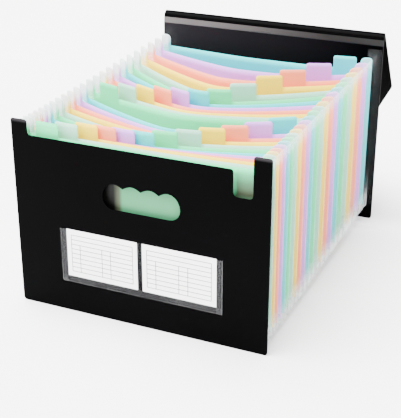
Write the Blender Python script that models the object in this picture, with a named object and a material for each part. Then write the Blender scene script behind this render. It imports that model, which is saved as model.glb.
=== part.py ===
"""Expanding desktop file sorter: two black covers, 24 tabbed dividers joined by clear film gussets,
a label pocket with two cards, and a lid folded back behind the rear cover.

Metres, +Z up, +Y from the front cover to the back. The origin is the bottom centre of the whole object.
"""

import math

import bmesh
import bpy

# Driving dimensions
STACK_DEPTH = 0.4174  # clear distance between the two covers when fully open
FIRST_POCKET = 0.0093  # depth of the pocket behind the front cover; the others grow evenly from it
POCKETS = 25
TAB_PLACES = 12
SHEET = 0.0012  # covers and lid
DIVIDER = 0.0005
FILM = 0.0005
CARD = 0.0003
GAP = 0.0003  # clearance that touching pieces keep

COVER_WIDTH = 0.330
COVER_HEIGHT = 0.243  # to the top of the ears
COVER_RECESS = 0.019  # how far the top edge lies below the ears
EAR_WIDTH = 0.0215
CORNER = 0.004
EAR_CORNER = 0.003

NOTCH_WIDTH = 0.024  # thumb notch beside the right ear
NOTCH_BOTTOM = 0.192
NOTCH_CORNER = 0.005

HANDLE_X = 0.0055  # centre of the handle hole
HANDLE_LENGTH = 0.100
HANDLE_BOTTOM = 0.1483
HANDLE_VALLEY = 0.1765  # the ridges between the finger scallops
FINGER_PITCH = 0.0232
FINGER_RISE = 0.0045
FINGERS = 4
HANDLE_END = 0.0145

LABEL_X = 0.0025
LABEL_WIDTH = 0.213
LABEL_BOTTOM = 0.0415
LABEL_TOP = 0.112
LABEL_BORDER = 0.0075
LABEL_MIDDLE = 0.0055
LABEL_FILM = 0.0004
CARD_CLEARANCE = 0.0005  # beside and under each card

DIVIDER_WIDTH = 0.322
DIVIDER_HEIGHT = 0.219  # to the top of the ears
DIVIDER_RECESS = 0.016
DIVIDER_EAR = 0.0155
DIVIDER_CORNER = 0.004  # outer corner of an ear
DIVIDER_TURN = 0.006  # its inner corner
DIVIDER_FOOT = 0.0015  # where it meets the recess
TAB_FIRST = -0.1207  # centre of the leftmost tab
TAB_PITCH = 0.0223
TAB_WIDTH = 0.0315
TAB_HEIGHT = 0.0165
TAB_CORNER = 0.003

STACK_TOP = 0.2395  # ears of the first divider
STACK_CLIMB = 0.0105  # how much higher the last divider hangs
FILM_DROP = 0.010  # the film's bottom fold below the dividers
FILM_TOP_INSET = 0.002

BACK_WIDTH = 0.338
LID_WIDTH = 0.338
BACK_HEIGHT = 0.2614  # to the lower crease
LOWER_STRIP = 0.0109  # crease to crease
UPPER_STRIP = 0.0069  # upper crease to the fold
FLAP_LENGTH = 0.190
FLAP_STRAIGHT = 0.112  # where the flap's sides start to taper
FLAP_END_WIDTH = 0.264
FLAP_CORNER = 0.010
CREASE_SETBACK = 0.0003  # from a crease line to the edge of the strip beside it
BEND_SETBACK = 0.0004  # beside the sharper upper crease
FOLD_SETBACK = 0.0016
LOWER_ANGLE = 82.0  # directions above +Y, in degrees
UPPER_ANGLE = 45.0
FLAP_ANGLE = -56.2

ARC_STEPS = 5  # straight pieces in a corner or a quarter turn
ARCH_STEPS = 8  # in one finger arch of the handle

# Principled colour, roughness
LOOKS = {
    "black_sheet": ((0.012, 0.011, 0.013), 0.32),
    "green": ((0.55, 0.86, 0.63), 0.40),
    "grey": ((0.72, 0.78, 0.76), 0.40),
    "yellow": ((1.00, 0.78, 0.36), 0.40),
    "pink": ((0.98, 0.52, 0.50), 0.40),
    "lavender": ((0.72, 0.60, 0.86), 0.40),
    "teal": ((0.32, 0.80, 0.76), 0.40),
    "clear_film": ((0.90, 0.95, 0.95), 0.15),
    "card": ((0.93, 0.93, 0.92), 0.70),
}
SHEET_COLOURS = ["green", "grey", "yellow", "pink", "lavender", "teal"]


def clear_scene():
    for obj in list(bpy.data.objects):
        bpy.data.objects.remove(obj, do_unlink=True)


def make_collection(name):
    collection = bpy.data.collections.new(name)
    bpy.context.scene.collection.children.link(collection)
    return collection


def make_material(name):
    colour, roughness = LOOKS[name]
    material = bpy.data.materials.new(name)
    material.use_nodes = True
    shader = material.node_tree.nodes["Principled BSDF"]
    shader.inputs["Base Color"].default_value = (*colour, 1.0)
    shader.inputs["Roughness"].default_value = roughness
    shader.inputs["Metallic"].default_value = 0.0
    if name == "clear_film":
        shader.inputs["Transmission Weight"].default_value = 0.9
    return material


def rounded(corners):
    """A closed outline from (x, y, radius) corners, each turned into an arc tangent to its two sides."""
    outline = []
    for i, (x, y, radius) in enumerate(corners):
        if radius == 0:
            outline.append((x, y))
            continue
        before = corners[i - 1]
        after = corners[(i + 1) % len(corners)]
        a = (before[0] - x, before[1] - y)
        b = (after[0] - x, after[1] - y)
        length_a = math.hypot(*a)
        length_b = math.hypot(*b)
        a = (a[0] / length_a, a[1] / length_a)
        b = (b[0] / length_b, b[1] / length_b)
        half = 0.5 * math.acos(max(-1.0, min(1.0, a[0] * b[0] + a[1] * b[1])))
        reach = radius / math.tan(half)
        middle = (a[0] + b[0], a[1] + b[1])
        scale = radius / math.sin(half) / math.hypot(*middle)
        centre = (x + middle[0] * scale, y + middle[1] * scale)
        start = math.atan2(y + a[1] * reach - centre[1], x + a[0] * reach - centre[0])
        end = math.atan2(y + b[1] * reach - centre[1], x + b[0] * reach - centre[0])
        turn = (end - start + math.pi) % (2 * math.pi) - math.pi
        for step in range(ARC_STEPS + 1):
            angle = start + turn * step / ARC_STEPS
            outline.append((centre[0] + radius * math.cos(angle), centre[1] + radius * math.sin(angle)))
    return outline


def plate_shape(name, outlines, thickness):
    """A flat plate: closed 2D outlines, the inner ones holes, filled and extruded to the thickness."""
    curve = bpy.data.curves.new(name, "CURVE")
    curve.dimensions = "2D"
    curve.fill_mode = "BOTH"
    curve.extrude = thickness / 2
    for outline in outlines:
        spline = curve.splines.new("POLY")
        spline.points.add(len(outline) - 1)
        for point, (x, y) in zip(spline.points, outline):
            point.co = (x, y, 0.0, 1.0)
        spline.use_cyclic_u = True
    return curve


def add_object(name, data, parent, location, angle=90.0):
    """Puts a shape upright: its outline's x along X and its y turned up from +Y by the angle."""
    obj = bpy.data.objects.new(name, data)
    COLLECTION.objects.link(obj)
    obj.parent = parent
    obj.location = location
    obj.rotation_euler = (math.radians(angle), 0.0, 0.0)
    return obj


def paint(data, look):
    data.materials.append(MATERIALS[look])


def pocket_walls():
    """Y of the front cover, the 24 dividers and the back cover: pocket depths grow evenly to the back."""
    growth = 2 * (STACK_DEPTH - POCKETS * FIRST_POCKET) / (POCKETS * (POCKETS - 1))
    walls = [0.0]
    for pocket in range(POCKETS):
        walls.append(walls[-1] + FIRST_POCKET + pocket * growth)
    return walls


def ear_top(y):
    """Height of a divider's ears at this depth: level at both ends of the stack, with a climb in between."""
    share = y / STACK_DEPTH
    return STACK_TOP + STACK_CLIMB * share * share * (3 - 2 * share)


def cover_outline():
    half = COVER_WIDTH / 2
    ear = half - EAR_WIDTH
    top = COVER_HEIGHT
    edge = top - COVER_RECESS
    return rounded(
        [
            (-half, 0.0, CORNER),
            (half, 0.0, CORNER),
            (half, top, EAR_CORNER),
            (ear, top, EAR_CORNER),
            (ear, NOTCH_BOTTOM, NOTCH_CORNER),
            (ear - NOTCH_WIDTH, NOTCH_BOTTOM, NOTCH_CORNER),
            (ear - NOTCH_WIDTH, edge, EAR_CORNER),
            (-ear, edge, CORNER),
            (-ear, top, EAR_CORNER),
            (-half, top, EAR_CORNER),
        ]
    )


def quarter(centre, reach_x, reach_y, start):
    """A quarter of an ellipse, anticlockwise from the start angle in degrees, without its last point."""
    points = []
    for step in range(ARC_STEPS):
        angle = math.radians(start + 90.0 * step / ARC_STEPS)
        points.append((centre[0] + reach_x * math.cos(angle), centre[1] + reach_y * math.sin(angle)))
    return points


def handle_outline():
    """A grip hole: straight bottom, rounded ends, and one low arch for each finger along the top."""
    right = HANDLE_X + HANDLE_LENGTH / 2
    left = HANDLE_X - HANDLE_LENGTH / 2
    last = HANDLE_X + FINGER_PITCH * (FINGERS - 1) / 2
    first = HANDLE_X - FINGER_PITCH * (FINGERS - 1) / 2
    middle = HANDLE_BOTTOM + HANDLE_END
    shoulder = HANDLE_VALLEY + FINGER_RISE - middle
    outline = quarter((right - HANDLE_END, middle), HANDLE_END, HANDLE_END, 270)
    outline += quarter((last, middle), right - last, shoulder, 0)
    steps = ARCH_STEPS * (FINGERS - 1)
    for step in range(steps):
        along = FINGER_PITCH * step / ARCH_STEPS
        arch = abs(math.cos(math.pi * along / FINGER_PITCH))
        outline.append((last - along, HANDLE_VALLEY + FINGER_RISE * arch))
    outline += quarter((first, middle), first - left, shoulder, 90)
    outline += quarter((left + HANDLE_END, middle), HANDLE_END, HANDLE_END, 180)
    outline.append((left + HANDLE_END, HANDLE_BOTTOM))
    return outline


def divider_outline(tab_place):
    half = DIVIDER_WIDTH / 2
    ear = half - DIVIDER_EAR
    top = DIVIDER_HEIGHT
    edge = top - DIVIDER_RECESS
    tab = TAB_FIRST + tab_place * TAB_PITCH
    left = tab - TAB_WIDTH / 2
    right = tab + TAB_WIDTH / 2
    return rounded(
        [
            (-half, 0.0, 0.0),
            (half, 0.0, 0.0),
            (half, top, DIVIDER_CORNER),
            (ear, top, DIVIDER_TURN),
            (ear, edge, DIVIDER_FOOT),
            (right, edge, 0.0),
            (right, edge + TAB_HEIGHT, TAB_CORNER),
            (left, edge + TAB_HEIGHT, TAB_CORNER),
            (left, edge, 0.0),
            (-ear, edge, DIVIDER_FOOT),
            (-ear, top, DIVIDER_TURN),
            (-half, top, DIVIDER_CORNER),
        ]
    )


def make_front_cover(frame):
    data = plate_shape("front_cover", [cover_outline(), handle_outline()], SHEET)
    paint(data, "black_sheet")
    add_object("front_cover", data, frame, (0.0, -SHEET / 2, 0.0))


def mesh_object(name, curve, parent, location):
    """The same plate as a closed mesh, so that it can be joined to another."""
    obj = add_object(name + "_outline", curve, parent, location)
    bpy.context.view_layer.update()
    mesh = bpy.data.meshes.new_from_object(obj.evaluated_get(bpy.context.evaluated_depsgraph_get()))
    work = bmesh.new()
    work.from_mesh(mesh)
    bmesh.ops.remove_doubles(work, verts=work.verts, dist=1e-6)
    work.to_mesh(mesh)
    work.free()
    made = add_object(name, mesh, parent, location)
    bpy.data.objects.remove(obj, do_unlink=True)
    return made


def make_label_pocket(frame):
    """Clear film over the front cover, welded round three sides and down the middle, and its two cards."""
    half = LABEL_WIDTH / 2
    depth = GAP + CARD + GAP
    face = -SHEET - GAP
    film = plate_shape(
        "label_film",
        [
            [
                (LABEL_X - half, LABEL_BOTTOM),
                (LABEL_X + half, LABEL_BOTTOM),
                (LABEL_X + half, LABEL_TOP),
                (LABEL_X - half, LABEL_TOP),
            ]
        ],
        LABEL_FILM,
    )
    inner = half - LABEL_BORDER
    middle = LABEL_MIDDLE / 2
    floor = LABEL_BOTTOM + LABEL_BORDER
    welds = plate_shape(
        "label_welds",
        [
            [
                (LABEL_X - half, LABEL_BOTTOM),
                (LABEL_X + half, LABEL_BOTTOM),
                (LABEL_X + half, LABEL_TOP),
                (LABEL_X + inner, LABEL_TOP),
                (LABEL_X + inner, floor),
                (LABEL_X + middle, floor),
                (LABEL_X + middle, LABEL_TOP),
                (LABEL_X - middle, LABEL_TOP),
                (LABEL_X - middle, floor),
                (LABEL_X - inner, floor),
                (LABEL_X - inner, LABEL_TOP),
                (LABEL_X - half, LABEL_TOP),
            ]
        ],
        depth + LABEL_FILM / 2,
    )
    paint(film, "clear_film")
    front = face - depth - LABEL_FILM / 2
    pocket = mesh_object("label_pocket", film, frame, (0.0, front, 0.0))
    back = mesh_object("label_welds", welds, frame, (0.0, (face + front) / 2, 0.0))
    CUTTERS.objects.link(back)
    COLLECTION.objects.unlink(back)
    back.hide_render = True
    back.display_type = "WIRE"
    join = pocket.modifiers.new("welds", "BOOLEAN")
    join.operation = "UNION"
    join.solver = "EXACT"
    join.object = back

    card_width = inner - middle - 2 * CARD_CLEARANCE
    card_bottom = floor + CARD_CLEARANCE
    for side, name in ((-1, "label_card_left"), (1, "label_card_right")):
        centre = LABEL_X + side * (inner + middle) / 2
        card = plate_shape(
            name,
            [
                [
                    (centre - card_width / 2, card_bottom),
                    (centre + card_width / 2, card_bottom),
                    (centre + card_width / 2, LABEL_TOP),
                    (centre - card_width / 2, LABEL_TOP),
                ]
            ],
            CARD,
        )
        paint(card, "card")
        add_object(name, card, frame, (0.0, face - CARD / 2, 0.0))


def make_dividers(frame, walls):
    """Twelve tab places from left to right, used by the front row and again by the back row."""
    shapes = {}
    for number in range(1, POCKETS):
        place = (number - 1) % TAB_PLACES
        if place not in shapes:
            shapes[place] = plate_shape(f"divider_tab_{place + 1:02d}", [divider_outline(place)], DIVIDER)
            paint(shapes[place], SHEET_COLOURS[place % len(SHEET_COLOURS)])
        y = walls[number]
        add_object(f"divider_{number:02d}", shapes[place], frame, (0.0, y, ear_top(y) - DIVIDER_HEIGHT))


def make_gussets(frame, walls):
    """One clear film trough for each pocket: a side wall, the bottom fold and the other side wall."""
    half = DIVIDER_WIDTH / 2
    for pocket in range(POCKETS):
        front = walls[pocket] + GAP + (DIVIDER / 2 if pocket else 0.0)
        back = walls[pocket + 1] - GAP - (DIVIDER / 2 if pocket < POCKETS - 1 else 0.0)
        middle = (front + back) / 2
        top = ear_top(middle) - FILM_TOP_INSET
        bottom = ear_top(middle) - DIVIDER_HEIGHT - FILM_DROP
        name = f"gusset_{pocket + 1:02d}"
        data = plate_shape(
            name,
            [
                [
                    (-half, bottom),
                    (half, bottom),
                    (half, top),
                    (half - FILM, top),
                    (half - FILM, bottom + FILM),
                    (-half + FILM, bottom + FILM),
                    (-half + FILM, top),
                    (-half, top),
                ]
            ],
            back - front,
        )
        paint(data, "clear_film")
        add_object(name, data, frame, (0.0, middle, 0.0))


def strip_shape(name, start, end):
    half = LID_WIDTH / 2
    data = plate_shape(name, [[(-half, start), (half, start), (half, end), (-half, end)]], SHEET)
    paint(data, "black_sheet")
    return data


def make_back_cover_and_lid(frame):
    """The back cover, then the lid's two crease strips and its flap, each hung on the crease before it."""
    half = BACK_WIDTH / 2
    data = plate_shape(
        "back_cover",
        [
            rounded(
                [
                    (-half, 0.0, CORNER),
                    (half, 0.0, CORNER),
                    (half, BACK_HEIGHT - CREASE_SETBACK, 0.0),
                    (-half, BACK_HEIGHT - CREASE_SETBACK, 0.0),
                ]
            )
        ],
        SHEET,
    )
    paint(data, "black_sheet")
    y = STACK_DEPTH + SHEET / 2
    add_object("back_cover", data, frame, (0.0, y, 0.0))

    lower = strip_shape("lid_lower_strip", CREASE_SETBACK, LOWER_STRIP - BEND_SETBACK)
    lower_strip = add_object("lid_lower_strip", lower, frame, (0.0, y, BACK_HEIGHT), LOWER_ANGLE)
    upper = strip_shape("lid_upper_strip", BEND_SETBACK, UPPER_STRIP - FOLD_SETBACK)
    upper_strip = add_object(
        "lid_upper_strip", upper, lower_strip, (0.0, LOWER_STRIP, 0.0), UPPER_ANGLE - LOWER_ANGLE
    )
    wide = LID_WIDTH / 2
    narrow = FLAP_END_WIDTH / 2
    flap = plate_shape(
        "lid_flap",
        [
            rounded(
                [
                    (-wide, FOLD_SETBACK, 0.0),
                    (wide, FOLD_SETBACK, 0.0),
                    (wide, FLAP_STRAIGHT, FLAP_CORNER),
                    (narrow, FLAP_LENGTH, FLAP_CORNER),
                    (-narrow, FLAP_LENGTH, FLAP_CORNER),
                    (-wide, FLAP_STRAIGHT, FLAP_CORNER),
                ]
            )
        ],
        SHEET,
    )
    paint(flap, "black_sheet")
    add_object("lid_flap", flap, upper_strip, (0.0, UPPER_STRIP, 0.0), FLAP_ANGLE - UPPER_ANGLE)


def deepest_point():
    """Y of the flap's rear edge, measured from the front cover's inner face."""
    reach = LOWER_STRIP * math.cos(math.radians(LOWER_ANGLE))
    reach += UPPER_STRIP * math.cos(math.radians(UPPER_ANGLE))
    reach += FLAP_LENGTH * math.cos(math.radians(FLAP_ANGLE))
    reach += SHEET / 2 * abs(math.sin(math.radians(FLAP_ANGLE)))
    return STACK_DEPTH + SHEET / 2 + reach


def foremost_point():
    """Y of the label pocket's front, measured from the front cover's inner face."""
    return -(SHEET + 3 * GAP + CARD + LABEL_FILM)


clear_scene()
COLLECTION = make_collection("desktop_file_sorter")
CUTTERS = make_collection("cutters")
MATERIALS = {name: make_material(name) for name in LOOKS}

file_frame = bpy.data.objects.new("file_frame", None)
COLLECTION.objects.link(file_frame)
file_frame.location = (0.0, -(deepest_point() + foremost_point()) / 2, 0.0)

WALLS = pocket_walls()
make_front_cover(file_frame)
make_label_pocket(file_frame)
make_dividers(file_frame, WALLS)
make_gussets(file_frame, WALLS)
make_back_cover_and_lid(file_frame)
bpy.context.view_layer.update()
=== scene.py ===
"""Looks of an expanding desktop file sorter: black plastic covers, pastel tabbed dividers that hang
forward, clear accordion film between them, a welded label pocket and a fold-back lid."""

import math

import bmesh
import bpy
import numpy as np
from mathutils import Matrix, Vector


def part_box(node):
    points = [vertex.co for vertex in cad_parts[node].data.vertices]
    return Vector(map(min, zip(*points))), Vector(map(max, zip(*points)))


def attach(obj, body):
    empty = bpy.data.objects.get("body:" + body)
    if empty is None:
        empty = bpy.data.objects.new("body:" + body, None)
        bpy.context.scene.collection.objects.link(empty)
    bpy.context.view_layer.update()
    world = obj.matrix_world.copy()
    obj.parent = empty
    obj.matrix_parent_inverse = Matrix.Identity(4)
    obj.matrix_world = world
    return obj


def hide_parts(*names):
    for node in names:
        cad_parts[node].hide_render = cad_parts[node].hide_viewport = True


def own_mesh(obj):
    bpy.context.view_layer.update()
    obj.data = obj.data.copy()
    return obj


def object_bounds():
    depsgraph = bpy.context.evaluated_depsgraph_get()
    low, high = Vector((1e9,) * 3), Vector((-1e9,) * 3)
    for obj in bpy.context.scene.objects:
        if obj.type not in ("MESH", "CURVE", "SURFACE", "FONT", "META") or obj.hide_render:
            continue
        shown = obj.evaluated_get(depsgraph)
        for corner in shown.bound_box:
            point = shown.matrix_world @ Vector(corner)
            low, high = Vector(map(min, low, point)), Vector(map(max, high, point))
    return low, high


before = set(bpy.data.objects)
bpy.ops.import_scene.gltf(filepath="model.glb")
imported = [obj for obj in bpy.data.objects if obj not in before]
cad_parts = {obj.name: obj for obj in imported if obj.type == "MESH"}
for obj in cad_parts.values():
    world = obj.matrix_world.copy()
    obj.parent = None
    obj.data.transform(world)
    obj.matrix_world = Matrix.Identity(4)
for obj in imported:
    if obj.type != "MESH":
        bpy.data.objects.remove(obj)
CAD_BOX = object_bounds()

MM = 0.001
TOLERANCE = 0.001 * MM

# ---- driving dimensions, in metres -------------------------------------------------------------

POCKETS = 25
TAB_PLACES = 12
SHEET = 1.2 * MM  # covers and lid
DIVIDER = 0.5 * MM
FILM = 0.25 * MM
EDGE_ROUND = 0.25 * MM  # cut edges of the covers

DIVIDER_RECESS = 16.0 * MM
DIVIDER_EAR = 15.5 * MM
DIVIDER_CORNER = 4.0 * MM  # outer corner of an ear
DIVIDER_TURN = 6.0 * MM  # its inner corner
FROST_INNER = 3.0 * MM  # clear margin along an ear's inner side; the rest of it is frosted, and on the left whitened by painted backlight as well
FROST_BLEND = 1.5 * MM
FROST_RISE = 12.0 * MM  # the margin turns frosty over this height
RIGHT_FROST_AND_BACKLIGHT = 0.3  # the ears on the right get less of it: there it is only the welded film, on the left painted backlight as well
TAB_FIRST = -120.7 * MM  # centre of the leftmost tab
TAB_PITCH = 22.3 * MM
TAB_WIDTH = 31.5 * MM
TAB_HEIGHT = 16.5 * MM
TAB_CORNER = 3.0 * MM

# Pulled open, the sheets hang forward in two swags, one for each run of tabs. At these sheets: the
# number, how far the lowest place reaches forward and how far the top edge droops, in mm. The sheets
# between follow evenly.
SWAGS = (
    (1, 4, 0),
    (3, 9, 0),
    (6, 31, 4),
    (9, 32, 7),
    (12, 54, 7),
    (13, 38, 0),
    (15, 50, 4),
    (19, 80, 7),
    (20, 82, 5),
    (22, 72, 0),
    (23, 50, 0),
    (24, 15, 0),
)
LOWEST_X = -4.0 * MM  # across a sheet, where it hangs lowest
# the power of a sheet's curve beside its lowest place: near 1 is a V, 2 and more a round bow
KINKED = 1.15
ROUND_LEFT = 1.3  # how much rounder the first sheet is, to the left of it
ROUND_LEFT_SHEETS = 8  # and over how many sheets that fades out
ROUND_RIGHT = 0.9  # the same to the right of it
ROUND_RIGHT_SHEETS = 4
ROUND_LAST = 1.3  # and for the last sheets, to the right of it
ROUND_LAST_SHEETS = 3
HANG_EDGE = 158.0 * MM  # half width over which a sheet hangs forward
HANG_AT_BOTTOM = 0.35  # share of the reach that is left at the sheet's bottom edge
HANG_ROUNDING = 0.10  # share of the half width over which the lowest place is rounded
DROOP_CENTRE = 20.0 * MM
WAVE = 0.3 * MM  # the sheets are not quite flat
SHEET_STEP = 6.0 * MM  # about the width of a face
EAR_STEPS = 6  # rows of faces in an ear
TAB_STEPS = 3
# rows of points in a sheet, as shares of its height
SHEET_ROWS = (0, 0.12, 0.25, 0.38, 0.5, 0.6, 0.7, 0.78, 0.85, 0.91, 0.96, 1.0)

# painted shadow: where the front cover darkens the first sheet, which shows through its two openings
HANDLE_TOP = 180.0 * MM
HANDLE_SHADE = 0.68
HANDLE_SHADE_X = -24.0 * MM  # left of here the painted shadow turns the sheet black
HANDLE_SHADE_BLEND = 9.0 * MM
HANDLE_SHADE_LEFT = 1.3
NOTCH_LEFT = 117.0 * MM
NOTCH_SHADE_POWER = 2.2  # how fast the painted shadow in the notch darkens downwards
NOTCH_BOTTOM = 192.0 * MM
NOTCH_TOP = 224.0 * MM

FILM_DROP = 10.0 * MM
FILM_TOP_INSET = 2.0 * MM
FOLD_DEPTH = 5.0 * MM  # how far a side fold tucks in at its middle
FOLD_DIP = 5.0 * MM  # how far its top edge dips there
FOLD_ACROSS = 8  # faces across a fold
FOLD_UP = 14
FOLD_FOOT = 0.25  # share of the tuck that is left at the foot
FOLD_RISE = 1.4  # how fast the rest of it comes in upwards
FILM_SIDE_INSET = 0.3 * MM
BOTTOM_STEP = 20.0 * MM
WELD_WIDTH = 11.5 * MM
WELD_GAP = 0.35 * MM
WELD_TOP_INSET = 1.0 * MM
WELD_LEVELS = (0.0, 0.25, 0.5, 0.7, 0.85, 0.92, 1.0)  # shares of a weld strip's height
WELD_DOUBLE = 0.01 * MM  # points closer than this become one

# how milky the film is, from 0 for clear to 1; heights are shares of the film's height
FILM_HAZE = 0.02
SEAM_HAZE = 0.09  # along the folds beside the sheets
CREST_HAZE = 0.08  # along the middle of a fold
CREST_POWER = 6  # how narrow that is
EDGE_HAZE = 0.35  # along the top edge
EDGE_START = 0.965
EDGE_BLEND = 0.03
FOOT_HAZE = 0.45
FOOT_BLEND = 0.16
BOTTOM_HAZE = 0.14
BOTTOM_CREST_HAZE = 0.3
WELD_HAZE = 0.03
WELD_TOP_HAZE_AND_BACKLIGHT = {-1: 0.83, 1: 0.15}  # added at a weld strip's top end, on the left and on the right; the left one is welded film and painted backlight
WELD_TOP_START = 0.9
WELD_TOP_BLEND = 0.05
# the last fold is almost clear, left and right, and shows the black cover through it
LAST_CLARITY = {-1: 0.006, 1: 0.10}

LABEL_BORDER = 7.5 * MM
LABEL_MIDDLE = 5.5 * MM
LABEL_STEP = 12.0 * MM
LABEL_WINDOW_BACK = 0.35 * MM  # the window between the bands stands back this far
LABEL_RIPPLE = 0.04 * MM
LABEL_WINDOW_HAZE = 0.012
# how milky the bands are, as shares of the hazes in LABEL_SECTION
LABEL_MILK_LEFT = 0.9
LABEL_MILK_RIGHT = 0.95
LABEL_MILK_BOTTOM = 0.7
LABEL_MILK_MIDDLE = 0.4
LABEL_BOTTOM_BACK = 0.06 * MM  # the bottom band stands back from the side bands
# across a band: the share of its width, how far it stands back from the sleeve's front, the haze
LABEL_SECTION = (
    (0.0, 0.30 * MM, 0.85),
    (0.07, 0.05 * MM, 0.85),
    (0.15, 0.22 * MM, 0.30),
    (0.42, 0.22 * MM, 0.26),
    (0.50, 0.08 * MM, 0.60),
    (0.58, 0.22 * MM, 0.26),
    (0.86, 0.22 * MM, 0.30),
    (0.94, 0.05 * MM, 0.60),
    (1.0, 0.30 * MM, 0.60),
)
CARD_MARGIN = 6.2 * MM  # at both sides of the ruled frame of a card
CARD_MARGIN_BELOW = 1.1 * CARD_MARGIN
CARD_MARGIN_ABOVE = 1.15 * CARD_MARGIN
INK_STAND = 0.03 * MM
RULE_LINES = 9
RULE_WIDTH = 0.8 * MM
RULE_COLUMNS = (0.14, 0.50, 0.64)  # shares of the ruled width; they start at the third line

LOWER_STRIP = 10.9 * MM
LOWER_ANGLE = 82.0
UPPER_STRIP = 6.9 * MM
UPPER_ANGLE = 45.0
UPPER_BOW = 26.0  # how far the upper strip's ends turn from its chord, in degrees
UPPER_SHARES = (0.15, 0.35, 0.55, 0.75, 1.0)  # places along the upper strip
CREASE_RISE = 0.3 * MM  # the lower crease lies this far above the back cover
CREASE_HALF = 0.8 * MM
CREASE_GAUGE = 0.6 * MM
STRIP_BELLY = 1.15  # the lower strip is this much thicker in its middle
STRIP_BELLY_TOP = 1.05
SPINE_ROUND = 0.15 * MM
POLISH_END = 2.5 * MM  # the glossy part of the lower strip, with its painted highlight, stops this far below the upper crease
FOLD_RADIUS = 1.8 * MM
FOLD_SIDES = 24
FOLD_END_INSET = 0.2 * MM
FOLD_END_ROUND = 0.9 * MM

DOT_PITCH = 4.7 * MM
DOT_RADIUS = 0.9 * MM
DOT_STAND = 0.62 * MM  # the dots show on the face of the last fold's weld
DOT_X = 160.4 * MM
DOT_BULGE = 0.12 * MM
DOT_SIDES = 10
DOT_MARGIN = 4.0 * MM  # from the strip's ends to the first and the last dot
STRIP_INNER = 148.0 * MM
STRIP_OUTER_INSET = 1.0 * MM
STRIP_EDGE = 1.2 * MM
STRIP_STAND = 0.1 * MM
STRIP_BULGE = 0.12 * MM
STRIP_STEP = 15.0 * MM
STRIP_HAZE = {"left": (0.001, 0.004), "right": (0.012, 0.026)}  # from its clearest to its milkiest
STRIP_BOTTOM = 24.0 * MM
STRIP_TOP_INSET = 5.0 * MM

EAR_TIP = 238.5 * MM  # above here the front cover's ear tips get a painted sheen, lighter
EAR_TIP_BLEND = 3.0 * MM
SHEEN_FOOT = 160.0 * MM  # the sheen on the back cover's inner face starts here
SHEEN_RISE = 90.0 * MM
SHEEN_RIGHT = 150.0 * MM  # and fades out towards here
SHEEN_WIDTH = 300.0 * MM

# ---- colours -----------------------------------------------------------------------------------

SHEET_COLOURS = (
    ("green", (0.05, 0.80, 0.35)),
    ("grey", (0.40, 0.74, 0.58)),
    ("yellow", (1.00, 0.73, 0.01)),
    ("pink", (1.00, 0.30, 0.17)),
    ("lavender", (0.68, 0.31, 0.88)),
    ("teal", (0.0, 0.70, 0.68)),
)
BLACKEST = (0.0001, 0.0001, 0.00016)
BLACK_MOTTLE = (0.0004, 0.00036, 0.0005)
PALER = 0.06  # how far the mottle goes towards white
TRANSLUCENCE = 0.32
FROSTED_AND_BACKLIT = (0.95, 0.97, 0.97)
FROST_AMOUNT = 0.85
# colours of the painted shadow on the first sheet
PAINTED_SHADE_OLIVE = (0.075, 0.090, 0.055)
PAINTED_SHADE_BLACK = (0.001, 0.001, 0.001)
# painted sheen on the tips of the front ears
EAR_TIP_SHEEN = (0.022, 0.020, 0.022)
SHEEN = (0.013, 0.012, 0.014)

# ---- the frame's own measures ------------------------------------------------------------------


def centre(node, axis):
    low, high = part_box(node)
    return (low[axis] + high[axis]) / 2


FRONT_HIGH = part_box("front_cover")[1]
BACK_LOW, BACK_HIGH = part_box("back_cover")
FRONT_Y = FRONT_HIGH[1]
BACK_Y = BACK_LOW[1]
WALLS = [FRONT_Y] + [centre(f"divider_{k:02d}", 1) for k in range(1, POCKETS)] + [BACK_Y]
DIVIDER_LOW, DIVIDER_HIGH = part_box("divider_01")
HALF = DIVIDER_HIGH[0]

# ---- small helpers -----------------------------------------------------------------------------


def smooth(t):
    t = min(1.0, max(0.0, t))
    return t * t * (3 - 2 * t)


def spaced(start, end, step):
    """Evenly spaced values from start to end, both included, about one step apart."""
    count = max(1, round(abs(end - start) / step))
    return [start + (end - start) * i / count for i in range(count + 1)]


def mesh_from(name, points, faces):
    mesh = bpy.data.meshes.new(name)
    mesh.from_pydata([tuple(p) for p in points], [], faces)
    mesh.validate()
    obj = bpy.data.objects.new(name, mesh)
    bpy.context.scene.collection.objects.link(obj)
    return obj


def grid_faces(first, rows, across, flipped=False):
    """Faces of a grid of points that are numbered from first, so many to a row."""
    faces = []
    for i in range(rows - 1):
        for j in range(across - 1):
            a = first + i * across + j
            b = a + across
            faces.append((a, b, b + 1, a + 1) if flipped else (a, a + 1, b + 1, b))
    return faces


def shade_smooth(obj):
    for polygon in obj.data.polygons:
        polygon.use_smooth = True


def solidify(obj, thickness):
    modifier = obj.modifiers.new("gauge", "SOLIDIFY")
    modifier.thickness = thickness
    modifier.offset = 0.0


def bevel(obj, width, segments=2):
    modifier = obj.modifiers.new("edge", "BEVEL")
    modifier.width = width
    modifier.segments = segments
    modifier.limit_method = "ANGLE"


# ---- materials ---------------------------------------------------------------------------------


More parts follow.
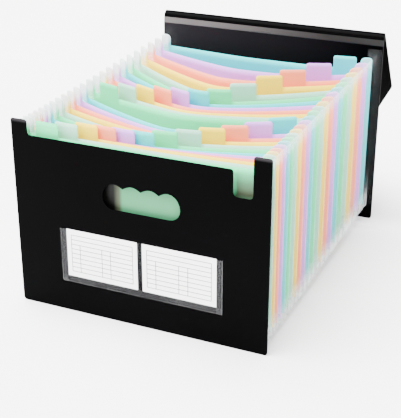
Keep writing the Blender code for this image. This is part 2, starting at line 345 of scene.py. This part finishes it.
class Look:
    """A material with a Principled shader, and short calls that add procedural detail to it."""

    def __init__(self, name, **sockets):
        self.material = bpy.data.materials.new(name)
        self.material.use_nodes = True
        self.tree = self.material.node_tree
        self.shader = self.tree.nodes["Principled BSDF"]
        for label, value in sockets.items():
            self.shader.inputs[label.replace("_", " ")].default_value = value
        self.place = self.tree.nodes.new("ShaderNodeTexCoord").outputs["Object"]

    def node(self, kind, **inputs):
        made = self.tree.nodes.new(kind)
        for label, value in inputs.items():
            socket = made.inputs[label.replace("_", " ")]
            if isinstance(value, bpy.types.NodeSocket):
                self.tree.links.new(value, socket)
            else:
                socket.default_value = value
        return made

    def link(self, output, label):
        self.tree.links.new(output, self.shader.inputs[label])

    def math(self, operation, first, second=0.0, third=0.0):
        made = self.tree.nodes.new("ShaderNodeMath")
        made.operation = operation
        for socket, value in zip(made.inputs, (first, second, third)):
            if isinstance(value, bpy.types.NodeSocket):
                self.tree.links.new(value, socket)
            else:
                socket.default_value = value
        return made.outputs[0]

    def noise(self, scale, detail=2.0, roughness=0.5, stretch=None):
        place = self.place
        if stretch:
            place = self.node("ShaderNodeMapping", Vector=place, Scale=stretch).outputs[0]
        made = self.node("ShaderNodeTexNoise", Vector=place, Scale=scale, Detail=detail, Roughness=roughness)
        return made.outputs["Fac"]

    def attribute(self, name):
        made = self.tree.nodes.new("ShaderNodeAttribute")
        made.attribute_name = name
        return made.outputs["Fac"]

    def mottle(self, label, scale, detail, low, high, stretch=None):
        """Let a socket wander between two values."""
        self.link(self.ramp(self.noise(scale, detail, stretch=stretch), (0.3, low), (0.7, high)), label)

    def ramp(self, fac, *stops):
        made = self.node("ShaderNodeValToRGB", Fac=fac)
        elements = made.color_ramp.elements
        while len(elements) < len(stops):
            elements.new(0.5)
        for element, (position, colour) in zip(elements, stops):
            element.position = position
            element.color = (*colour, 1.0) if isinstance(colour, tuple) else (colour, colour, colour, 1.0)
        return made.outputs["Color"]

    def mix(self, fac, first, second):
        made = self.tree.nodes.new("ShaderNodeMix")
        made.data_type = "RGBA"
        for index, value in ((0, fac), (6, first), (7, second)):
            socket = made.inputs[index]
            if isinstance(value, bpy.types.NodeSocket):
                self.tree.links.new(value, socket)
            elif index:
                socket.default_value = (*value, 1.0)
            else:
                socket.default_value = value
        return made.outputs[2]

    def above(self, value, start, span):
        """0 below start, rising to 1 over the span."""
        made = self.node("ShaderNodeMapRange", Value=value)
        made.inputs["From Min"].default_value = start
        made.inputs["From Max"].default_value = start + span
        return made.outputs[0]

    def bump(self, height, strength, distance):
        made = self.node("ShaderNodeBump", Height=height, Strength=strength, Distance=distance)
        self.link(made.outputs[0], "Normal")


def black_sheet_look():
    """Moulded black polypropylene sheet: a fine orange-peel grain, slow warps and faint scuffs, with a
    painted sheen on the front ear tips and on the back cover's inner face.
    """
    look = Look("black_sheet", Specular_IOR_Level=0.012)
    tone = look.ramp(look.noise(7.0, 4.0), (0.3, BLACKEST), (0.7, BLACK_MOTTLE))
    x, y, z = look.node("ShaderNodeSeparateXYZ", Vector=look.place).outputs
    # painted sheen: the tips of the front ears are lighter
    sheen_tips = look.math("MULTIPLY", look.above(z, EAR_TIP, EAR_TIP_BLEND), look.math("LESS_THAN", y, 0.0))
    tone = look.mix(sheen_tips, tone, EAR_TIP_SHEEN)
    # the back cover's inner face has a sheen under the lid that fades towards the right
    behind = look.math("GREATER_THAN", y, 0.0)
    inner = look.math("MULTIPLY", behind, look.math("LESS_THAN", y, BACK_Y + SHEET / 2))
    leftward = look.above(look.math("MULTIPLY", x, -1.0), -SHEEN_RIGHT, SHEEN_WIDTH)
    sheen = look.math("MULTIPLY", look.above(z, SHEEN_FOOT, SHEEN_RISE), leftward)
    tone = look.mix(look.math("MULTIPLY", inner, sheen), tone, SHEEN)
    look.link(tone, "Base Color")
    wear = look.ramp(look.noise(26.0, 6.0, 0.65), (0.35, 0.28), (0.75, 0.44))
    look.link(wear, "Roughness")
    grain = look.math("MULTIPLY", look.noise(1400.0, 2.0), 0.25)
    warp = look.noise(9.0, 1.0)
    look.bump(look.math("ADD", grain, warp), 0.25, 0.0012)
    return look.material


def sheet_look(name, colour):
    """Translucent coloured polypropylene, faintly mottled, with frosted ears that painted backlight whitens
    further on the left.
    """
    look = Look(f"sheet_{name}", Specular_IOR_Level=0.15)
    pale = tuple(c + (1.0 - c) * PALER for c in colour)
    # frosted ears, and painted backlight on the left ones, whiten the tint
    frost_backlight_share = look.math("MULTIPLY", look.attribute("frost_and_backlight"), FROST_AMOUNT)
    tint = look.mix(frost_backlight_share, look.mix(look.noise(18.0, 3.0), colour, pale), FROSTED_AND_BACKLIT)
    # painted shadow: a shade up to 1 turns the sheet olive, and from there to 2 black
    shade = look.attribute("shade")
    tint = look.mix(look.above(shade, 0.0, 1.0), tint, PAINTED_SHADE_OLIVE)
    tint = look.mix(look.above(shade, 1.0, 1.0), tint, PAINTED_SHADE_BLACK)
    look.link(tint, "Base Color")
    look.mottle("Roughness", 60.0, 4.0, 0.36, 0.5)
    look.bump(look.noise(900.0, 2.0), 0.06, 0.0004)
    through = look.node("ShaderNodeBsdfTranslucent", Color=tint)
    both = look.node("ShaderNodeMixShader", Fac=TRANSLUCENCE)
    look.tree.links.new(look.shader.outputs[0], both.inputs[1])
    look.tree.links.new(through.outputs[0], both.inputs[2])
    look.tree.links.new(both.outputs[0], look.tree.nodes["Material Output"].inputs["Surface"])
    return look.material


def film_look():
    """Clear film, milky where it is folded or welded: the haze attribute says how much."""
    look = Look("clear_film", Roughness=0.3, Specular_IOR_Level=0.25)
    veil = look.math("MULTIPLY_ADD", look.noise(35.0, 3.0, stretch=(1.0, 1.0, 0.25)), 1.4, 0.3)
    look.link(look.math("MULTIPLY", look.attribute("haze"), veil), "Alpha")
    look.mottle("Base Color", 25.0, 2.0, (0.86, 0.90, 0.92), (0.95, 0.97, 0.98))
    look.bump(look.noise(45.0, 2.0, stretch=(1.0, 1.0, 0.3)), 0.3, 0.001)
    return look.material


def label_film_look():
    """The label pocket's film, which reads dark grey over the black cover."""
    look = Look("label_film", Roughness=0.24, Specular_IOR_Level=0.3)
    look.link(look.attribute("haze"), "Alpha")
    look.mottle("Base Color", 40.0, 2.0, (0.040, 0.040, 0.043), (0.065, 0.065, 0.068))
    look.bump(look.noise(60.0, 2.0), 0.05, 0.0004)
    return look.material


# ---- sheets ------------------------------------------------------------------------------------


def swag(number):
    """A sheet's reach and droop in mm, from the sheets that SWAGS names on both sides of it."""
    for (first, *start), (last, *end) in zip(SWAGS, SWAGS[1:]):
        if first <= number <= last:
            return [a + (b - a) * (number - first) / (last - first) for a, b in zip(start, end)]
    raise ValueError(f"no sheet {number}")


def bow_power(number, on_the_left):
    """How round a sheet's curve is beside its lowest place."""
    if on_the_left:
        return KINKED + ROUND_LEFT * max(0.0, 1 - (number - 1) / ROUND_LEFT_SHEETS)
    first = ROUND_RIGHT * max(0.0, 1 - (number - 1) / ROUND_RIGHT_SHEETS)
    last = ROUND_LAST * max(0.0, 1 - (POCKETS - 1 - number) / ROUND_LAST_SHEETS)
    return KINKED + first + last


def towards_edge(x, middle):
    """0 at a middle, 1 where the hanging part of a sheet ends on that side of it."""
    side = -1 if x < middle else 1
    return min(1.0, abs(x - middle) / (HANG_EDGE - side * middle))


def hang(number, x, share):
    """How far forward and down a sheet lies from its own plane, at x and a share of its height."""
    if not 0 < number < POCKETS:
        return 0.0, 0.0
    reach, droop = swag(number)
    outward = towards_edge(x, LOWEST_X)
    rounded = math.hypot(outward, HANG_ROUNDING) - HANG_ROUNDING
    rounded /= math.hypot(1.0, HANG_ROUNDING) - HANG_ROUNDING
    up = smooth(share)
    across = 1.0 - rounded ** bow_power(number, x < LOWEST_X)
    forward = reach * MM * across * (HANG_AT_BOTTOM + (1 - HANG_AT_BOTTOM) * up)
    return forward, droop * MM * (1.0 - towards_edge(x, DROOP_CENTRE) ** 2) * up


def corner_drop(distance, radius):
    """How far a rounded corner lies below a flat top, at this distance from the side."""
    if distance >= radius:
        return 0.0
    return radius - math.sqrt(max(0.0, radius * radius - (radius - distance) ** 2))


def corner_steps(side, radius, inward):
    """X positions across a rounded corner, from its side inward."""
    return [side + inward * radius * (1 - math.cos(math.radians(a))) for a in (0, 30, 60, 90)]


def painted_cover_shadow(x, z):
    """How much painted shadow the front cover casts on the first sheet behind the handle hole and the thumb
    notch.
    """
    if z > (HANDLE_TOP + NOTCH_BOTTOM) / 2:
        up = min(1.0, max(0.0, (z - NOTCH_BOTTOM) / (NOTCH_TOP - NOTCH_BOTTOM)))
        return 1.0 - up**NOTCH_SHADE_POWER if x > NOTCH_LEFT else 0.0
    return HANDLE_SHADE + HANDLE_SHADE_LEFT * smooth((HANDLE_SHADE_X - x) / HANDLE_SHADE_BLEND)


def divider_sheet(number):
    """One tabbed sheet as a curved surface, solidified to its gauge."""
    low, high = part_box(f"divider_{number:02d}")
    bottom, top = low[2], high[2]
    edge = top - DIVIDER_RECESS
    ear = HALF - DIVIDER_EAR
    tab = TAB_FIRST + (number - 1) % TAB_PLACES * TAB_PITCH
    left, right = tab - TAB_WIDTH / 2, tab + TAB_WIDTH / 2

    xs = set()
    for side in (-1, 1):
        xs.update(corner_steps(side * HALF, DIVIDER_CORNER, -side))
        xs.update(corner_steps(side * ear, DIVIDER_TURN, side))
    xs.update(corner_steps(left, TAB_CORNER, 1))
    xs.update(corner_steps(right, TAB_CORNER, -1))
    marks = sorted({round(x, 6) for x in xs})
    columns = [marks[0]]
    for x in marks[1:]:
        columns += spaced(columns[-1], x, SHEET_STEP)[1:]
    rows = [bottom + (edge - bottom) * t for t in SHEET_ROWS]

    points, faces, grid = [], [], []
    for x in columns:
        grid.append([len(points) + i for i in range(len(rows))])
        points += [(x, row) for row in rows]
    for a, b in zip(grid, grid[1:]):
        for i in range(len(rows) - 1):
            faces.append((a[i], b[i], b[i + 1], a[i + 1]))

    def raised(start, end, height, left_radius, right_radius, steps):
        """The part of the sheet above its recess between two sides: an ear or the tab."""
        stacks = []
        for x, column in zip(columns, grid):
            if not start - TOLERANCE <= x <= end + TOLERANCE:
                continue
            drop = max(corner_drop(x - start, left_radius), corner_drop(end - x, right_radius))
            peak = edge + height - drop
            stack = [column[-1]]
            for step in range(1, steps + 1):
                stack.append(len(points))
                points.append((x, edge + (peak - edge) * step / steps))
            stacks.append(stack)
        for a, b in zip(stacks, stacks[1:]):
            for i in range(steps):
                faces.append((a[i], b[i], b[i + 1], a[i + 1]))

    raised(-HALF, -ear, DIVIDER_RECESS, DIVIDER_CORNER, DIVIDER_TURN, EAR_STEPS)
    raised(ear, HALF, DIVIDER_RECESS, DIVIDER_TURN, DIVIDER_CORNER, EAR_STEPS)
    raised(left, right, TAB_HEIGHT, TAB_CORNER, TAB_CORNER, TAB_STEPS)

    shaped = []
    for x, z in points:
        forward, down = hang(number, x, (z - bottom) / (edge - bottom))
        wave = WAVE * math.sin(41.0 * x + 1.7 * number) * math.sin(23.0 * z + number)
        shaped.append((x, WALLS[number] - forward + wave * (abs(x) < HANG_EDGE), z - down))
    sheet = mesh_from(f"sheet_{number:02d}", shaped, faces)
    # frost on the ears; on the left it also stands for painted backlight
    frost_and_backlight = []
    for x, z in points:
        outward = smooth((abs(x) - ear - FROST_INNER) / FROST_BLEND)
        upward = smooth((z - edge - FROST_BLEND) / FROST_RISE)
        on_ear = smooth((z - edge) / FROST_BLEND) if abs(x) > ear - TOLERANCE else 0.0
        frost_and_backlight.append(on_ear * max(outward, upward) * (RIGHT_FROST_AND_BACKLIGHT if x > 0 else 1.0))
    put_attribute(sheet, "frost_and_backlight", frost_and_backlight)
    if number == 1:
        # painted shadow of the front cover, kept in the first sheet's shade attribute
        put_attribute(sheet, "shade", [painted_cover_shadow(x, z) for x, z in points])
    shade_smooth(sheet)
    solidify(sheet, DIVIDER)
    return sheet


def put_attribute(obj, name, values):
    attribute = obj.data.attributes.new(name, "FLOAT", "POINT")
    attribute.data.foreach_set("value", np.array(values, np.float32))


def ear_top(wall):
    """Height of the ears of a sheet, or of the nearest sheet beside a cover."""
    number = min(max(wall, 1), POCKETS - 1)
    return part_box(f"divider_{number:02d}")[1][2]


def gusset_film(pocket):
    """The folded film of one pocket: two side folds, the bottom fold and four weld strips."""
    y0 = WALLS[pocket] + FILM + WELD_GAP
    y1 = WALLS[pocket + 1] - FILM - WELD_GAP
    top0, top1 = ear_top(pocket), ear_top(pocket + 1)
    height = DIVIDER_HIGH[2] - DIVIDER_LOW[2]
    low = min(top0, top1) - height - FILM_DROP
    points, faces, haze = [], [], []
    side = HALF - FILM_SIDE_INSET
    clarity = LAST_CLARITY if pocket == POCKETS - 1 else {-1: 1.0, 1: 1.0}
    across = [i / FOLD_ACROSS for i in range(FOLD_ACROSS + 1)]
    folds = [1 - abs(2 * u - 1) for u in across]
    for sign in (-1, 1):
        first = len(points)
        for u, fold in zip(across, folds):
            top = top0 + (top1 - top0) * u - FILM_TOP_INSET - FOLD_DIP * fold
            seam = SEAM_HAZE if u in (0.0, 1.0) else 0.0
            for j in range(FOLD_UP + 1):
                t = j / FOLD_UP
                z = low + (top - low) * t
                tuck = FOLD_DEPTH * fold * (FOLD_FOOT + (1 - FOLD_FOOT) * smooth(t * FOLD_RISE))
                points.append((sign * (side - tuck), y0 + (y1 - y0) * u, z))
                edge = smooth((t - EDGE_START) / EDGE_BLEND)
                foot = 1 - smooth(t / FOOT_BLEND)
                veil = FILM_HAZE + seam + CREST_HAZE * fold**CREST_POWER + EDGE_HAZE * edge
                haze.append(clarity[sign] * veil + FOOT_HAZE * foot)
        faces += grid_faces(first, len(across), FOLD_UP + 1, flipped=sign < 0)
    # the bottom
    first = len(points)
    xs = spaced(-side, side, BOTTOM_STEP)
    for x in xs:
        for u, fold in zip(across, folds):
            tucked = side - FOLD_DEPTH * fold * FOLD_FOOT
            points.append((max(-tucked, min(tucked, x)), y0 + (y1 - y0) * u, low))
            haze.append(BOTTOM_HAZE + BOTTOM_CREST_HAZE * fold**CREST_POWER)
    faces += grid_faces(first, len(xs), len(across))
    # weld strips on the sheet in front and the sheet behind
    sides = (side, side - WELD_WIDTH / 2, side - WELD_WIDTH)
    for sign in (-1, 1):
        for y, top, wall in ((y0, top0, pocket), (y1, top1, pocket + 1)):
            first = len(points)
            bottom = top - height
            for x in sides:
                for t in WELD_LEVELS:
                    z = low + (top - WELD_TOP_INSET - low) * t
                    forward, down = hang(wall, sign * x, (z - bottom) / (height - DIVIDER_RECESS))
                    points.append((sign * x, y - forward, z - down))
                    tip = smooth((t - WELD_TOP_START) / WELD_TOP_BLEND)
                    haze.append(clarity[sign] * (WELD_HAZE + WELD_TOP_HAZE_AND_BACKLIGHT[sign] * tip))
            faces += grid_faces(first, len(sides), len(WELD_LEVELS))
    film = mesh_from(f"film_{pocket + 1:02d}", points, faces)
    put_attribute(film, "haze", haze)
    work = bmesh.new()
    work.from_mesh(film.data)
    bmesh.ops.remove_doubles(work, verts=work.verts, dist=WELD_DOUBLE)
    work.to_mesh(film.data)
    work.free()
    shade_smooth(film)
    return film


def make_stack():
    looks = [sheet_look(name, colour) for name, colour in SHEET_COLOURS]
    for number in range(1, POCKETS):
        sheet = divider_sheet(number)
        colour = (number - 1) % len(SHEET_COLOURS)
        sheet.data.materials.append(looks[colour])
        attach(sheet, f"sheet_{number:02d}")
        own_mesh(sheet)
        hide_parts(f"divider_{number:02d}")
    film_material = film_look()
    for pocket in range(POCKETS):
        film = gusset_film(pocket)
        film.data.materials.append(film_material)
        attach(film, f"sheet_{pocket:02d}" if pocket else "front")
        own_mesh(film)
        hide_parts(f"gusset_{pocket + 1:02d}")


# ---- covers, label and lid ---------------------------------------------------------------------


def dress_covers(black):
    for name in ("front_cover", "back_cover", "lid_flap"):
        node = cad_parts[name]
        node.data.materials.clear()
        node.data.materials.append(black)
        bevel(node, EDGE_ROUND)


def polar(start, angle, distance):
    y, z = start
    return (y + distance * math.cos(math.radians(angle)), z + distance * math.sin(math.radians(angle)))


def glossy_band_look():
    """The same black plastic, polished between the creases, with a painted highlight in its colour that is
    brightest at the left end.
    """
    look = Look("glossy_band", Specular_IOR_Level=0.33)
    streak = look.noise(30.0, 3.0, stretch=(0.08, 1.0, 1.0))
    along = look.node("ShaderNodeSeparateXYZ", Vector=look.place).outputs[0]
    # painted highlight: brighter towards the left end
    painted_highlight = look.math("MULTIPLY_ADD", along, -4.5, look.math("MULTIPLY_ADD", streak, 0.5, 0.25))
    look.link(look.ramp(painted_highlight, (0.1, (0.003, 0.0027, 0.0029)), (0.9, (0.078, 0.070, 0.070))), "Base Color")
    look.link(look.ramp(streak, (0.3, 0.22), (0.7, 0.42)), "Roughness")
    look.bump(streak, 0.2, 0.0008)
    return look.material


def make_spine(black):
    """The lid's two strips as one sheet with creases, and the rolled fold that the flap hangs from."""
    middle_y = (BACK_LOW[1] + BACK_HIGH[1]) / 2
    crease_1 = (middle_y, BACK_HIGH[2] + CREASE_RISE)
    crease_2 = polar(crease_1, LOWER_ANGLE, LOWER_STRIP)
    fold = polar(crease_2, UPPER_ANGLE, UPPER_STRIP)
    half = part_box("lid_lower_strip")[1][0]
    path = [
        ((middle_y, BACK_HIGH[2]), 90.0, SHEET),
        (crease_1, (90.0 + LOWER_ANGLE) / 2, CREASE_GAUGE),
        (polar(crease_1, LOWER_ANGLE, CREASE_HALF), LOWER_ANGLE, SHEET),
        (polar(crease_1, LOWER_ANGLE, LOWER_STRIP / 2), LOWER_ANGLE, SHEET * STRIP_BELLY),
        (polar(crease_1, LOWER_ANGLE, LOWER_STRIP - POLISH_END), LOWER_ANGLE, SHEET * STRIP_BELLY_TOP),
        (polar(crease_2, LOWER_ANGLE, -CREASE_HALF), LOWER_ANGLE, SHEET),
        (crease_2, (LOWER_ANGLE + UPPER_ANGLE + UPPER_BOW) / 2, CREASE_GAUGE),
    ]
    rise = UPPER_STRIP / 2 * math.tan(math.radians(UPPER_BOW) / 2)
    for share in UPPER_SHARES:
        chord = polar(crease_2, UPPER_ANGLE, UPPER_STRIP * share)
        place = polar(chord, UPPER_ANGLE + 90.0, rise * 4 * share * (1 - share))
        path.append((place, UPPER_ANGLE + UPPER_BOW * (1 - 2 * share), SHEET))
    outline = [polar(place, angle + 90.0, gauge / 2) for place, angle, gauge in path]
    outline += [polar(place, angle - 90.0, gauge / 2) for place, angle, gauge in reversed(path)]
    spine = extrude_outline("lid_spine", outline, half)
    bevel(spine, SPINE_ROUND)
    circle = [polar(fold, 360.0 / FOLD_SIDES * (i + 0.5), FOLD_RADIUS) for i in range(FOLD_SIDES)]
    roll = extrude_outline("lid_fold", circle, half - FOLD_END_INSET)
    bevel(roll, FOLD_END_ROUND, 3)
    for piece in (spine, roll):
        piece.data.materials.append(black)
        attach(piece, "back")
    spine.data.materials.append(glossy_band_look())
    # the front of the lower strip, from its crease to the end of the polish, takes the glossy band with its
    # painted highlight
    for face in spine.data.polygons[1:4]:
        face.material_index = 1
    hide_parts("lid_lower_strip", "lid_upper_strip")


def extrude_outline(name, outline, half):
    """A closed outline in y and z, drawn out from -half to half along x."""
    count = len(outline)
    points = [(side * half, y, z) for side in (-1, 1) for y, z in outline]
    faces = [(i, (i + 1) % count, count + (i + 1) % count, count + i) for i in range(count)]
    faces += [tuple(range(count - 1, -1, -1)), tuple(range(count, 2 * count))]
    piece = mesh_from(name, points, faces)
    work = bmesh.new()
    work.from_mesh(piece.data)
    bmesh.ops.recalc_face_normals(work, faces=work.faces)
    work.to_mesh(piece.data)
    work.free()
    return piece


def make_back_strips():
    """The film welded to the back cover's inner face along both sides, with its row of weld dots."""
    films = {name: strip_look(name, *haze) for name, haze in STRIP_HAZE.items()}
    dot = Look("weld_dot", Roughness=0.3)
    dot.mottle("Base Color", 300.0, 2.0, (0.0008, 0.0008, 0.0008), (0.002, 0.002, 0.002))
    y = BACK_Y - STRIP_STAND
    bottom, top = STRIP_BOTTOM, BACK_HIGH[2] - STRIP_TOP_INSET
    outer = BACK_HIGH[0] - STRIP_OUTER_INSET
    section = (
        (STRIP_INNER, 0.0),
        (STRIP_INNER + STRIP_EDGE, STRIP_BULGE),
        (outer - STRIP_EDGE, STRIP_BULGE),
        (outer, 0.0),
    )
    levels = spaced(bottom, top, STRIP_STEP)
    for side, name in ((-1, "left"), (1, "right")):
        points = [(side * x, y - forward, z) for z in levels for x, forward in section]
        strip = mesh_from(f"back_strip_{name}", points, grid_faces(0, len(levels), len(section)))
        shade_smooth(strip)
        strip.data.materials.append(films[name])
        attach(strip, "back")
        points, faces = [], []
        for z in spaced(bottom + DOT_MARGIN, top - DOT_MARGIN, DOT_PITCH):
            first = len(points)
            for i in range(DOT_SIDES):
                angle = math.tau * i / DOT_SIDES
                x = side * DOT_X + DOT_RADIUS * math.cos(angle)
                points.append((x, y - DOT_STAND, z + DOT_RADIUS * math.sin(angle)))
            tip = len(points)
            points.append((side * DOT_X, y - DOT_STAND - DOT_BULGE, z))
            faces += [(first + i, first + (i + 1) % DOT_SIDES, tip) for i in range(DOT_SIDES)]
        dots = mesh_from(f"weld_dots_{name}", points, faces)
        dots.data.materials.append(dot.material)
        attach(dots, "back")


def strip_look(side, clear, milky):
    look = Look(f"film_strip_{side}", Roughness=0.28, Specular_IOR_Level=0.1)
    look.mottle("Alpha", 30.0, 3.0, clear, milky, stretch=(1.0, 1.0, 0.2))
    look.mottle("Base Color", 12.0, 2.0, (0.60, 0.55, 0.56), (0.72, 0.68, 0.70))
    return look.material


def card_look():
    look = Look("card", Roughness=0.62)
    look.mottle("Base Color", 90.0, 3.0, (0.955, 0.955, 0.95), (0.985, 0.985, 0.98))
    return look.material


def ruling_look():
    look = Look("ruling", Roughness=0.6)
    look.mottle("Base Color", 200.0, 2.0, (0.012, 0.012, 0.014), (0.03, 0.03, 0.033))
    return look.material


def make_cards():
    """White cards with a ruled grid printed on them."""
    paper, ink = card_look(), ruling_look()
    for side in ("left", "right"):
        name = f"label_card_{side}"
        low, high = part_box(name)
        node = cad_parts[name]
        node.data.materials.clear()
        node.data.materials.append(paper)
        x0, x1 = low[0] + CARD_MARGIN, high[0] - CARD_MARGIN
        z0, z1 = low[2] + CARD_MARGIN_BELOW, high[2] - CARD_MARGIN_ABOVE
        y = low[1] - INK_STAND
        points, faces = [], []

        def bar(left, right, bottom, top):
            first = len(points)
            for x, z in ((left, bottom), (right, bottom), (right, top), (left, top)):
                points.append((x, y, z))
            faces.append((first, first + 1, first + 2, first + 3))

        pitch = (z1 - z0) / (RULE_LINES - 1)
        half = RULE_WIDTH / 2
        for line in range(RULE_LINES):
            z = z0 + line * pitch
            bar(x0, x1, z - half, z + half)
        for x in (x0, x1):
            bar(x - half, x + half, z0, z1)
        for share in RULE_COLUMNS:
            x = x0 + (x1 - x0) * share
            bar(x - half, x + half, z0, z1 - 2 * pitch)
        ruling = mesh_from(f"ruling_{side}", points, faces)
        ruling.data.materials.append(ink)
        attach(ruling, f"card_{side}")


def make_label():
    """The clear sleeve: a window film with welded bands at both sides, below and between the cards."""
    low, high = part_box("label_pocket")
    front = low[1]
    points, faces, haze = [], [], []

    def band(start, end, inward, width, back, milky):
        """A ribbed band from start to end (x, z), spreading inward (a unit x, z) by its width."""
        first = len(points)
        for x, z in (start, end):
            for share, stand, milk in LABEL_SECTION:
                shift_x, shift_z = inward[0] * width * share, inward[1] * width * share
                points.append((x + shift_x, front + stand + back, z + shift_z))
                haze.append(milk * milky)
        count = len(LABEL_SECTION)
        for i in range(count - 1):
            face = (first + i, first + i + 1, first + count + i + 1, first + count + i)
            faces.append(face if inward == (1, 0) else face[::-1])

    middle = (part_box("label_card_left")[1][0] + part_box("label_card_right")[0][0]) / 2
    band((low[0], low[2]), (low[0], high[2]), (1, 0), LABEL_BORDER, 0.0, LABEL_MILK_LEFT)
    band((high[0], low[2]), (high[0], high[2]), (-1, 0), LABEL_BORDER, 0.0, LABEL_MILK_RIGHT)
    corners = (low[0], low[2]), (high[0], low[2])
    band(*corners, (0, 1), LABEL_BORDER, LABEL_BOTTOM_BACK, LABEL_MILK_BOTTOM)
    left = middle - LABEL_MIDDLE / 2
    foot = low[2] + LABEL_BORDER
    band((left, foot), (left, high[2]), (1, 0), LABEL_MIDDLE, 0.0, LABEL_MILK_MIDDLE)
    first = len(points)
    levels = spaced(foot, high[2], LABEL_STEP)
    across = spaced(low[0] + LABEL_BORDER, high[0] - LABEL_BORDER, LABEL_STEP)
    for z in levels:
        for x in across:
            ripple = LABEL_RIPPLE * math.sin(90.0 * x) * math.sin(130.0 * z)
            points.append((x, front + LABEL_WINDOW_BACK + ripple, z))
            haze.append(LABEL_WINDOW_HAZE)
    faces += grid_faces(first, len(levels), len(across))
    sleeve = mesh_from("label_sleeve", points, faces)
    put_attribute(sleeve, "haze", haze)
    sleeve.data.materials.append(label_film_look())
    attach(sleeve, "front")
    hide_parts("label_pocket")


# ---- camera, light and floor -------------------------------------------------------------------

CAMERA_AZIMUTH = 24.36
CAMERA_ELEVATION = 24.18
CAMERA_PLACE = (0.5177, FRONT_Y - 0.9660, 0.6459)
LENS = 89.57
SENSOR = 36.0

SUN_POWER = 21.5
SUN_SPREAD = 80.0  # in degrees
SUN_WAY = (0.42, 0.16, -1.0)
FILL_POWER = 1.5
BACK_LIGHT_POWER = 14.0
WORLD_POWER = 1.9
FLOOR_HALF = 6.0
FLOOR_GAP = 0.2 * MM  # below the object's lowest point


def area_light(name, place, target, size, power):
    data = bpy.data.lights.new(name, "AREA")
    data.shape = "RECTANGLE"
    data.size, data.size_y = size
    data.energy = power
    light = bpy.data.objects.new(name, data)
    bpy.context.scene.collection.objects.link(light)
    light.location = place
    light.rotation_euler = (Vector(target) - Vector(place)).to_track_quat("-Z", "Y").to_euler()


def make_studio():
    camera_data = bpy.data.cameras.new("camera")
    camera_data.sensor_width = SENSOR
    camera_data.lens = LENS
    camera = bpy.data.objects.new("camera", camera_data)
    bpy.context.scene.collection.objects.link(camera)
    azimuth, elevation = math.radians(CAMERA_AZIMUTH), math.radians(CAMERA_ELEVATION)
    away = Vector(
        (
            math.sin(azimuth) * math.cos(elevation),
            -math.cos(azimuth) * math.cos(elevation),
            math.sin(elevation),
        )
    )
    camera.location = CAMERA_PLACE
    camera.rotation_euler = (-away).to_track_quat("-Z", "Y").to_euler()
    bpy.context.scene.camera = camera

    sun_data = bpy.data.lights.new("key", "SUN")
    sun_data.energy = SUN_POWER
    sun_data.angle = math.radians(SUN_SPREAD)
    sun = bpy.data.objects.new("key", sun_data)
    bpy.context.scene.collection.objects.link(sun)
    sun.rotation_euler = Vector(SUN_WAY).to_track_quat("-Z", "Y").to_euler()
    area_light("fill", (1.7, -0.3, 1.0), (0, 0, 0.12), (1.4, 1.4), FILL_POWER)
    area_light("back", (0.1, 1.5, 1.5), (0, 0.1, 0.2), (2.0, 0.8), BACK_LIGHT_POWER)

    world = bpy.data.worlds.new("studio")
    world.use_nodes = True
    background = world.node_tree.nodes["Background"]
    background.inputs["Color"].default_value = (1, 1, 1, 1)
    background.inputs["Strength"].default_value = WORLD_POWER
    bpy.context.scene.world = world

    corners = [(x * FLOOR_HALF, y * FLOOR_HALF, 0) for x, y in ((-1, -1), (1, -1), (1, 1), (-1, 1))]
    floor = mesh_from("floor", corners, [(0, 1, 2, 3)])
    floor.location.z = CAD_BOX[0][2] - FLOOR_GAP
    look = Look("floor", Roughness=0.9)
    look.mottle("Base Color", 3.0, 2.0, (0.90, 0.90, 0.90), (0.92, 0.92, 0.92))
    floor.data.materials.append(look.material)


make_studio()
BLACK = black_sheet_look()
dress_covers(BLACK)
make_spine(BLACK)
make_back_strips()
make_cards()
make_label()
make_stack()
